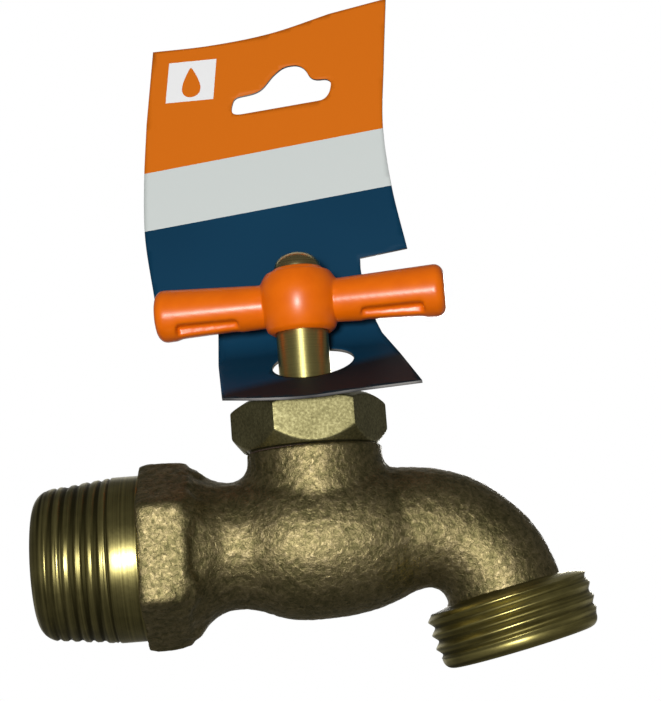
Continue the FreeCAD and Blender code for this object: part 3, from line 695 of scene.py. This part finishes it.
nitrile, tree, shader = new_material("nitrile")
sand = use_effect(tree, speckle, Per_metre=2500.0, Roughness=0.5)
colour = ramp(tree, sand["Fine"], [(0.3, (0.016, 0.016, 0.017)), (0.7, (0.035, 0.034, 0.034))])
bumps = relief(tree, 0.25, 0.00003, sand["Fine"])
feed(tree, shader, {"Base Color": colour, "Roughness": 0.55, "Normal": bumps})


def finish_node(node, material):
    """A CAD node that stays as it is, with its material."""
    nodes[node].data.materials.clear()
    nodes[node].data.materials.append(material)


finish_node("bonnet_gasket", fibre)
finish_node("stem_seal", nitrile)


# Stem
# Turned brass rod: the lead thread is inside the bonnet, and the polished shank shows below the handle.
# It runs up into a square that carries the handle.

STEM_R = 4.33
STEM_FOOT_R = 4.6
STEM_FOOT_LOW = 5.6
STEM_THREAD_R = 5.6
STEM_THREAD_TOP = 15.0
STEM_SHANK_TOP = 35.9
STEM_SQUARE_R = 3.0
STEM_TOP = 44.15

stem_brass = turned_brass(
    "stem_brass", (0.63, 0.55, 0.200), (0.53, 0.46, 0.165), 0.37, (0, 0, 1), 5000.0, 0.0000005
)
stem_shader = stem_brass.node_tree.nodes["Principled BSDF"]
feed(stem_brass.node_tree, stem_shader, {"Anisotropic": 0.7, "Anisotropic Rotation": 0.25})
profile = eased(
    [
        (0, STEM_FOOT_LOW),
        (STEM_FOOT_R, STEM_FOOT_LOW),
        (STEM_FOOT_R, 7.0),
        (STEM_THREAD_R, 7.6),
        (STEM_THREAD_R, STEM_THREAD_TOP),
        (STEM_R, STEM_THREAD_TOP),
        (STEM_R, STEM_SHANK_TOP),
        (STEM_SQUARE_R, STEM_SHANK_TOP),
        (STEM_SQUARE_R, STEM_TOP),
        (0, STEM_TOP),
    ],
    0.15,
    closed=False,
)
stem_mesh = facing_out(ring_mesh("stem", lathe_rings(profile), poles=True))
stem_mesh.set_sharp_from_angle(angle=math.radians(40))
new_piece("stem", stem_mesh, [stem_brass], "spindle", ["stem"])


# Jumper
# The washer holder swivels in the stem's foot, and its screw holds the rubber washer in the cup.
# All three are hidden in the globe, and their solids are used as they are.

jumper_brass = turned_brass(
    "jumper_brass", (0.55, 0.44, 0.20), (0.28, 0.21, 0.08), 0.32, (0, 0, 1), 5000.0, 0.00003
)
finish_node("washer_holder", jumper_brass)
finish_node("washer_screw", jumper_brass)
finish_node("seat_washer", nitrile)


# Handle
# A zinc die casting with a ball hub and two tapered arms, each cut back below to a keel.
# It is dipped in a thick orange enamel that rounds every edge.

HANDLE_NET = 0.24
HANDLE_TURN = math.radians(-7)
KEEL_LEDGE = 37.8
KEEL_LIFT = 0.12
KEEL_FADE_IN = (9.8, 11.0)
KEEL_FADE_OUT = (21.2, 20.0)
KEEL_TOP_FADE = (39.0, 38.0)
HUB_BORE_WALL = 4.9
HUB_LOW = 35.3
HUB_MIDDLE = 40.95
HUB_TOP = 45.95
HUB_R = 6.9
HUB_LONG_RADIUS = 9.4
BALL_GROWTH = 0.0222
BALL_FADE_IN = (4.8, 5.4)
BALL_FADE_OUT = (8.2, 6.8)
HUB_FLAT_R = 3.9
HUB_EDGE_DROP = 0.8
HUB_EDGE_FADE = (3.95, 4.85)

orange_enamel, tree, shader = new_material("orange_enamel")
flow = use_effect(tree, speckle, Per_metre=420.0, Roughness=0.4)
colour = ramp(tree, flow["Fine"], [(0.3, (0.77, 0.134, 0.0002)), (0.7, (0.83, 0.154, 0.0004))])
feed(
    tree,
    shader,
    {
        "Base Color": colour,
        "Roughness": 0.34,
        "Specular IOR Level": 0.30,
        "Coat Weight": 0.15,
        "Coat Roughness": 0.24,
        "Normal": relief(tree, 0.16, 0.00012, flow["Fine"]),
    },
)


def rounded_hub(points):
    """The hub with its lower half filled out to an ellipse, its ball grown to meet it, and the edge of its
    flat top drawn down: radius = widest radius * sqrt(1 - (depth below the middle / long radius)^2)."""
    out = np.hypot(points[:, 0] - STEM_X, points[:, 1])
    z = points[:, 2]
    hub_r = HUB_R * np.sqrt(1 - np.clip((z - HUB_MIDDLE) / HUB_LONG_RADIUS, -0.9, 0.9) ** 2)
    below = (out > HUB_BORE_WALL) & (z > HUB_LOW) & (z < HUB_MIDDLE)
    on_ball = fade(out, *BALL_FADE_OUT) * fade(out, *BALL_FADE_IN) * (z >= HUB_MIDDLE)
    taper = np.where(below, np.maximum(1, hub_r / out), 1) * (1 + BALL_GROWTH * on_ball)
    top = HUB_TOP - HUB_EDGE_DROP * fade(out, *HUB_EDGE_FADE)
    z = np.where(out > HUB_FLAT_R, np.minimum(z, top), z)
    return np.stack([STEM_X + (points[:, 0] - STEM_X) * taper, points[:, 1] * taper, z], axis=1)


handle_mesh = even_net(welded_copy("handle", "handle_enamel"), HANDLE_NET)
points = rounded_hub(relaxed(handle_mesh, points_of(handle_mesh), 5))
along_arm = np.abs((points[:, 0] - STEM_X) * math.cos(HANDLE_TURN) + points[:, 1] * math.sin(HANDLE_TURN))
at_keel = fade(along_arm, *KEEL_FADE_IN) * fade(along_arm, *KEEL_FADE_OUT)
points[:, 2] += KEEL_LIFT * at_keel * np.maximum(KEEL_LEDGE - points[:, 2], 0)
points = relaxed(handle_mesh, points, 14, at_keel * fade(points[:, 2], *KEEL_TOP_FADE), 0.0)
put_points(handle_mesh, relaxed(handle_mesh, points, 8))
handle_mesh.shade_smooth()
new_piece("handle_enamel", handle_mesh, [orange_enamel], "spindle", ["handle"])


# Handle screw
# A brass screw with a domed head and a straight slot, turned from bar and slotted with a saw.
# It clamps the handle on the stem's square.

SCREW_HEAD_R = 3.9
SCREW_RISE = 2.8
SCREW_SHANK_R = 2.0
SCREW_LOW = 36.95
SCREW_SLOT_FLOOR = 47.95
SCREW_SLOT_WALL = (0.52, 0.40)
SCREW_SLOT_TURN = math.radians(35)

screw_brass = turned_brass(
    "screw_brass", (0.62, 0.50, 0.230), (0.34, 0.27, 0.115), 0.26, (0, 0, 1), 2500.0, 0.000002
)
quarter = np.linspace(0, math.pi / 2, 40)
dome_r = SCREW_HEAD_R * np.sin(quarter)
dome_z = HUB_TOP + SCREW_RISE * np.cos(quarter)
under_head = HUB_TOP - 0.02
shank = [(3.86, under_head), (SCREW_SHANK_R, under_head)]
shank += [(SCREW_SHANK_R, 37.1), (1.8, SCREW_LOW), (0, SCREW_LOW)]
rings = lathe_rings(np.concatenate([np.stack([dome_r, dome_z], axis=1), shank]))
off_slot = (rings[..., 1] * math.cos(SCREW_SLOT_TURN)) - (rings[..., 0] - STEM_X) * math.sin(SCREW_SLOT_TURN)
in_slot = fade(np.abs(off_slot), *SCREW_SLOT_WALL)
rings[..., 2] -= in_slot * np.maximum(rings[..., 2] - SCREW_SLOT_FLOOR, 0)
screw_mesh = facing_out(ring_mesh("handle_screw", rings, poles=True))
screw_mesh.set_sharp_from_angle(angle=math.radians(40))
new_piece("screw_dome", screw_mesh, [screw_brass], "spindle", ["handle_screw"])


# Hang card
# Printed board bent into a foot, a round bend and a panel, hooked over the stem by a punched hole.
# The print on both faces has a satin sheen, and the board's grey core shows along its worn cut edges.

CARD_THICK = 0.45
CARD_TURN = math.radians(-10)
FOOT_SLOPE = math.radians(28)
PANEL_SLOPE = math.radians(78)
BEND_R = 8.0
FOOT_LENGTH = 19.80
FOOT_START = np.array([-13.0, 22.80])
PANEL_AT = FOOT_LENGTH + BEND_R * (PANEL_SLOPE - FOOT_SLOPE)
CARD_NET = 0.9
CARD_HOLE = np.array([1.6, 13.9])
CARD_HOLE_R = 6.8
CARD_ORANGE = (0.67, 0.155, 0.006, 1)
CARD_PALE = (0.62, 0.66, 0.64, 1)
CARD_FOOT = (0.008, 0.013, 0.017, 1)
PATCH_WHITE = (0.86, 0.86, 0.86, 1)
BAND_LEAN = -0.078
ORANGE_FROM = 35.3
PALE_FROM = 23.7
PATCH_MIDDLE = (-20.1, 51.1)
PATCH_HALF = (4.5, 4.2)


def spline(points, count):
    """Points along a smooth curve through the given ones. Between two of them, low and high, with slopes
    m0 and m1 and h apart, f of the way: (2f^3 - 3f^2 + 1) low + (f^3 - 2f^2 + f) h m0 + (3f^2 - 2f^3) high
    + (f^3 - f^2) h m1."""
    through = np.array(points, float)
    steps = np.linalg.norm(np.diff(through, axis=0), axis=1)
    at = np.concatenate([[0], np.cumsum(steps)])
    slopes = np.gradient(through, at, axis=0)
    t = np.linspace(0, at[-1], count)
    k = np.clip(np.searchsorted(at, t, side="right") - 1, 0, len(steps) - 1)
    h = (at[k + 1] - at[k])[:, None]
    f = ((t - at[k]) / h[:, 0])[:, None]
    low, high = through[k], through[k + 1]
    return (
        (2 * f**3 - 3 * f**2 + 1) * low
        + (f**3 - 2 * f**2 + f) * h * slopes[k]
        + (3 * f**2 - 2 * f**3) * high
        + (f**3 - f**2) * h * slopes[k + 1]
    )


def up_panel(points):
    """Points on the panel, (across, up), as places on the flat card."""
    return [(u, PANEL_AT + v) for u, v in points]


outline = np.concatenate(
    [
        spline([(-11.7, 1.1), (-4.0, -0.9), (3.0, -1.7), (9.3, -0.9), (20.4, 0.1)], 30),
        [(16.2, 14.0), (12.6, PANEL_AT - 3.0)],
        spline(up_panel([(11.6, -0.4), (10.5, 4.2), (9.4, 9.2), (9.4, 11.7)]), 8),
        spline(up_panel([(17.7, 12.6), (15.7, 24.8), (14.8, 36.7), (15.7, 50.0), (16.8, 63.2)]), 40),
        spline(up_panel([(6.3, 61.6), (-5.1, 59.0), (-16.5, 58.1), (-27.3, 58.3)]), 30),
        spline(up_panel([(-28.6, 43.1), (-29.1, 31.1), (-29.0, 21.0), (-27.2, 7.6)]), 36),
        up_panel([(-17.2, 8.8), (-16.0, 0.6)]),
        [(-15.1, PANEL_AT - 9.1)],
    ]
)
slot_corners = [
    (-12.5, 43.2), (-12.7, 44.3), (-12.1, 46.4), (-8.3, 46.8), (-6.8, 47.5), (-4.6, 50.2), (-2.7, 51.6),
    (-0.3, 51.7), (1.2, 50.7), (2.1, 48.6), (3.3, 48.0), (5.1, 48.0), (6.0, 47.2), (5.5, 44.9), (4.4, 43.7),
    (-11.5, 42.8),
]
slot_outline = eased(up_panel(slot_corners), 1.0, steps=5)
around_hole = np.linspace(0, 2 * math.pi, 64, endpoint=False)
hole_outline = CARD_HOLE + CARD_HOLE_R * np.stack([np.cos(around_hole), np.sin(around_hole)], axis=1)


def inside(points, loop):
    """True where a point is inside a closed loop, by counting the sides that a line to the right crosses."""
    x, y = points[:, 0, None], points[:, 1, None]
    first, second = np.array(loop), np.roll(loop, -1, axis=0)
    spans = (first[:, 1] > y) != (second[:, 1] > y)
    rise = np.where(second[:, 1] == first[:, 1], 1.0, second[:, 1] - first[:, 1])
    cross = first[:, 0] + (y - first[:, 1]) * (second[:, 0] - first[:, 0]) / rise
    return (np.sum(spans & (x < cross), axis=1) % 2) == 1


def to_loop(points, loop):
    """Distance from each point to the nearest side of a closed loop."""
    first, second = np.array(loop, float), np.roll(np.array(loop, float), -1, axis=0)
    side = second - first
    off = points[:, None] - first
    t = np.clip(np.sum(off * side, axis=2) / np.maximum(np.sum(side * side, axis=1), 1e-9), 0, 1)
    return np.min(np.linalg.norm(off - t[..., None] * side, axis=2), axis=1)


def card_place(flat):
    """A place on the flat card as a place in the frame: a straight foot, an arc of the bend's radius and a
    straight panel, all turned about the stem."""
    u, s = flat[:, 0], flat[:, 1]
    bend = np.clip((s - FOOT_LENGTH) / BEND_R, 0, PANEL_SLOPE - FOOT_SLOPE)
    slope = FOOT_SLOPE + bend
    in_foot = np.minimum(s, FOOT_LENGTH)
    in_panel = np.maximum(s - PANEL_AT, 0)
    y = FOOT_START[0] + in_foot * math.cos(FOOT_SLOPE) + BEND_R * (np.sin(slope) - math.sin(FOOT_SLOPE))
    z = FOOT_START[1] + in_foot * math.sin(FOOT_SLOPE) + BEND_R * (math.cos(FOOT_SLOPE) - np.cos(slope))
    y += in_panel * math.cos(PANEL_SLOPE)
    z += in_panel * math.sin(PANEL_SLOPE)
    x = STEM_X + u * math.cos(CARD_TURN) - y * math.sin(CARD_TURN)
    return np.stack([x, u * math.sin(CARD_TURN) + y * math.cos(CARD_TURN), z], axis=1)


grid_u, grid_s = np.meshgrid(np.arange(-30, 22, CARD_NET), np.arange(-2, PANEL_AT + 64, CARD_NET))
filling = np.stack([grid_u.ravel(), grid_s.ravel()], axis=1)
loops = [outline, slot_outline, hole_outline]


def on_card(points):
    """True where a point is inside the outline and outside the slot and the hole."""
    return inside(points, outline) & ~inside(points, slot_outline) & ~inside(points, hole_outline)


keep = on_card(filling)
for loop in loops:
    keep &= to_loop(filling, loop) > 0.5 * CARD_NET
every = np.concatenate(loops + [filling[keep]])
sides = []
start = 0
for loop in loops:
    ring = np.arange(start, start + len(loop))
    sides += np.stack([ring, np.roll(ring, -1)], axis=1).tolist()
    start += len(loop)
flat_points, _, flat_faces, *_ = delaunay_2d_cdt([tuple(p) for p in every], sides, [], 0, 1e-6)
flat_points = np.array([tuple(p) for p in flat_points])
flat_faces = np.array(flat_faces)
solid = on_card(flat_points[flat_faces].mean(axis=1))
card_mesh = bpy.data.meshes.new("hang_card_sheet")
card_mesh.from_pydata((card_place(flat_points) * MM).tolist(), [], flat_faces[solid].tolist())
layout = card_mesh.uv_layers.new(name="print")
corner = np.empty(len(card_mesh.loops), np.int32)
card_mesh.loops.foreach_get("vertex_index", corner)
layout.data.foreach_set("uv", flat_points[corner].astype(np.float32).ravel())
card_mesh.shade_smooth()


def print_material(name, front):
    """The card's print by its flat places in millimetres: orange over pale over navy, and on the front a
    white patch with a plain drop in it."""
    made, tree, shader = new_material(name)
    flat = add_node(tree, "ShaderNodeUVMap", uv_map="print").outputs["UV"]
    parts = add_node(tree, "ShaderNodeSeparateXYZ", {0: flat}).outputs
    lean = math_node(tree, "MULTIPLY_ADD", parts[0], BAND_LEAN, parts[1])
    in_orange = math_node(tree, "GREATER_THAN", lean, PANEL_AT + ORANGE_FROM)
    in_pale = math_node(tree, "GREATER_THAN", lean, PANEL_AT + PALE_FROM)
    worn = use_effect(tree, speckle, Per_metre=260.0, Roughness=0.5)
    navy = ramp(tree, worn["Broad"], [(0.3, (0.003, 0.036, 0.078)), (0.7, (0.005, 0.047, 0.098))])
    from_front = math_node(tree, "MULTIPLY_ADD", parts[0], -0.4, parts[1])
    in_foot = ramp(tree, math_node(tree, "DIVIDE", from_front, 40.0), [(0.16, (1, 1, 1)), (0.25, (0, 0, 0))])
    colour = mixed_colour(tree, in_foot, navy, CARD_FOOT)
    colour = mixed_colour(tree, in_pale, colour, CARD_PALE)
    colour = mixed_colour(tree, in_orange, colour, CARD_ORANGE)
    if front:
        u = math_node(tree, "SUBTRACT", parts[0], PATCH_MIDDLE[0])
        v = math_node(tree, "SUBTRACT", parts[1], PANEL_AT + PATCH_MIDDLE[1])
        square_u = math_node(tree, "ABSOLUTE", math_node(tree, "MULTIPLY_ADD", v, -0.09, u))
        square_v = math_node(tree, "ABSOLUTE", math_node(tree, "MULTIPLY_ADD", u, 0.035, v))
        square_u = math_node(tree, "LESS_THAN", square_u, PATCH_HALF[0])
        square_v = math_node(tree, "LESS_THAN", square_v, PATCH_HALF[1])
        square = math_node(tree, "MULTIPLY", square_u, square_v)
        colour = mixed_colour(tree, square, colour, PATCH_WHITE)
        drop_u = math_node(tree, "DIVIDE", u, math_node(tree, "MULTIPLY_ADD", v, -0.30, 1.45))
        drop_v = math_node(tree, "DIVIDE", math_node(tree, "ADD", v, 0.3), 3.1)
        drop_v = math_node(tree, "MULTIPLY", drop_v, drop_v)
        drop = math_node(tree, "LESS_THAN", math_node(tree, "MULTIPLY_ADD", drop_u, drop_u, drop_v), 1.0)
        colour = mixed_colour(tree, drop, colour, CARD_ORANGE)
    bumps = relief(tree, 0.15, 0.00005, worn["Fine"])
    feed(tree, shader, {"Base Color": colour, "Roughness": 0.48, "Specular IOR Level": 0.12, "Normal": bumps})
    return made


board_core, tree, shader = new_material("board_core")
sand = use_effect(tree, speckle, Per_metre=900.0, Roughness=0.6)
colour = ramp(tree, sand["Broad"], [(0.42, (0.05, 0.05, 0.05)), (0.60, (0.24, 0.23, 0.22))])
feed(tree, shader, {"Base Color": colour, "Roughness": 0.8})

card = new_piece(
    "hang_card_sheet",
    card_mesh,
    [print_material("card_front", True), print_material("card_back", False), board_core],
    "card",
    ["hang_card"],
)
board = card.modifiers.new("board", "SOLIDIFY")
board.thickness = CARD_THICK * MM
board.offset = 1.0
board.material_offset = 1
board.material_offset_rim = 2


# Camera
# It stands as the one that took the photograph did, close below the tap and looking a little up.
# Its long lens and its slight roll are the photograph's too.

CAMERA_AT = (24.42, -268.1, -13.31)
CAMERA_YAW = 0.0315
CAMERA_PITCH = 0.16638
CAMERA_ROLL = -0.0793
CAMERA_LENS = 84.2

forward = np.array(
    [
        math.sin(CAMERA_YAW) * math.cos(CAMERA_PITCH),
        math.cos(CAMERA_YAW) * math.cos(CAMERA_PITCH),
        math.sin(CAMERA_PITCH),
    ]
)
level_right = np.array([math.cos(CAMERA_YAW), -math.sin(CAMERA_YAW), 0.0])
level_up = np.cross(level_right, forward)
right = math.cos(CAMERA_ROLL) * level_right + math.sin(CAMERA_ROLL) * level_up
up = -math.sin(CAMERA_ROLL) * level_right + math.cos(CAMERA_ROLL) * level_up
camera_data = bpy.data.cameras.new("camera")
camera_data.lens = CAMERA_LENS
camera_data.sensor_width = 36.0
camera_data.clip_start = 0.01
camera_data.clip_end = 50.0
camera = bpy.data.objects.new("camera", camera_data)
bpy.context.scene.collection.objects.link(camera)
camera.matrix_world = Matrix(
    [[right[k], up[k], -forward[k], CAMERA_AT[k] * MM] for k in range(3)] + [[0, 0, 0, 1]]
)
bpy.context.scene.camera = camera


# Floor and light
# A pale floor below the tap that fades into a white studio, one soft lamp beyond the camera and a weaker one
# behind the tap. The tap's own metal sees a dim room in front, the white backdrop behind and, below, the
# floor with a painted shadow near the tap.

FLOOR_Z = -110.0
FLOOR_R = 900.0
FLOOR_GLOW = 0.65
ROOM_TONE = 0.115
LIT_MIDDLE = (28, 0, 15)


def smooth_range(tree, value, low, high, out_low=0.0, out_high=1.0):
    """From out_low at low to out_high at high, by t * t * (3 - 2 * t)."""
    inputs = {0: value, 1: low, 2: high, 3: out_low, 4: out_high}
    return add_node(tree, "ShaderNodeMapRange", inputs, interpolation_type="SMOOTHSTEP").outputs[0]


floor_material, tree, shader = new_material("floor")
where = add_node(tree, "ShaderNodeTexCoord").outputs["Object"]
reach = add_node(tree, "ShaderNodeVectorMath", {0: where}, operation="LENGTH").outputs["Value"]
path = add_node(tree, "ShaderNodeLightPath").outputs
seen = math_node(tree, "MAXIMUM", path["Is Glossy Ray"], path["Is Transmission Ray"])
# In reflections the floor's glow fades out from 0.65 m in to 0.30 m from the middle: a painted shadow under
# the tap, which keeps the metal's undersides dark.
seen = math_node(tree, "MULTIPLY", seen, smooth_range(tree, reach, 0.30, 0.65))
seen = math_node(tree, "MAXIMUM", seen, path["Is Camera Ray"])
glow = math_node(tree, "MULTIPLY", seen, FLOOR_GLOW)
feed(tree, shader, {"Base Color": (0.28, 0.28, 0.275, 1), "Roughness": 0.9})
feed(tree, shader, {"Emission Color": (1, 1, 1, 1), "Emission Strength": glow})
far = smooth_range(tree, reach, 0.35, 0.85)
clear = add_node(tree, "ShaderNodeBsdfTransparent").outputs[0]
blend = add_node(tree, "ShaderNodeMixShader", {0: far, 1: shader.outputs[0], 2: clear}).outputs[0]
tree.links.new(blend, tree.nodes["Material Output"].inputs["Surface"])
floor_mesh = bpy.data.meshes.new("floor")
rim = np.linspace(0, 2 * math.pi, 64, endpoint=False)
floor_rim = np.stack([FLOOR_R * np.cos(rim), FLOOR_R * np.sin(rim), np.full(64, FLOOR_Z)], axis=1)
floor_mesh.from_pydata((floor_rim * MM).tolist(), [], [tuple(range(64))])
floor_mesh.materials.append(floor_material)
floor = bpy.data.objects.new("floor", floor_mesh)
bpy.context.scene.collection.objects.link(floor)


def soft_lamp(name, place, aim, size, power):
    """A round area lamp, in millimetres and watts, turned to its aim and not seen itself."""
    data = bpy.data.lights.new(name, "AREA")
    data.shape = "DISK"
    data.size = size * MM
    data.energy = power
    lamp = bpy.data.objects.new(name, data)
    bpy.context.scene.collection.objects.link(lamp)
    backwards = Vector(place) - Vector(aim)
    turn = backwards.to_track_quat("Z", "Y").to_matrix().to_4x4()
    turn.translation = Vector(place) * MM
    lamp.matrix_world = turn
    lamp.visible_camera = False


soft_lamp("key", (-97, -891, -45), LIT_MIDDLE, 150, 7.6)
soft_lamp("back", (190, 870, 90), LIT_MIDDLE, 300, 4.0)

world = bpy.data.worlds.new("studio")
bpy.context.scene.world = world
world.use_nodes = True
tree = world.node_tree
tree.nodes.clear()
way = add_node(tree, "ShaderNodeTexCoord").outputs["Generated"]
facing = add_node(
    tree, "ShaderNodeVectorMath", {0: way, 1: tuple(forward)}, operation="DOT_PRODUCT"
).outputs["Value"]
tone = smooth_range(tree, facing, 0.87, 0.95, ROOM_TONE)
path = add_node(tree, "ShaderNodeLightPath").outputs
seen = math_node(tree, "MAXIMUM", path["Is Camera Ray"], path["Is Transmission Ray"])
tone = math_node(tree, "MAXIMUM", tone, seen)
back = add_node(tree, "ShaderNodeBackground", {"Color": (1, 1, 1, 1), "Strength": tone})
output = add_node(tree, "ShaderNodeOutputWorld")
tree.links.new(back.outputs[0], output.inputs["Surface"])
bpy.context.scene.view_settings.view_transform = "Standard"
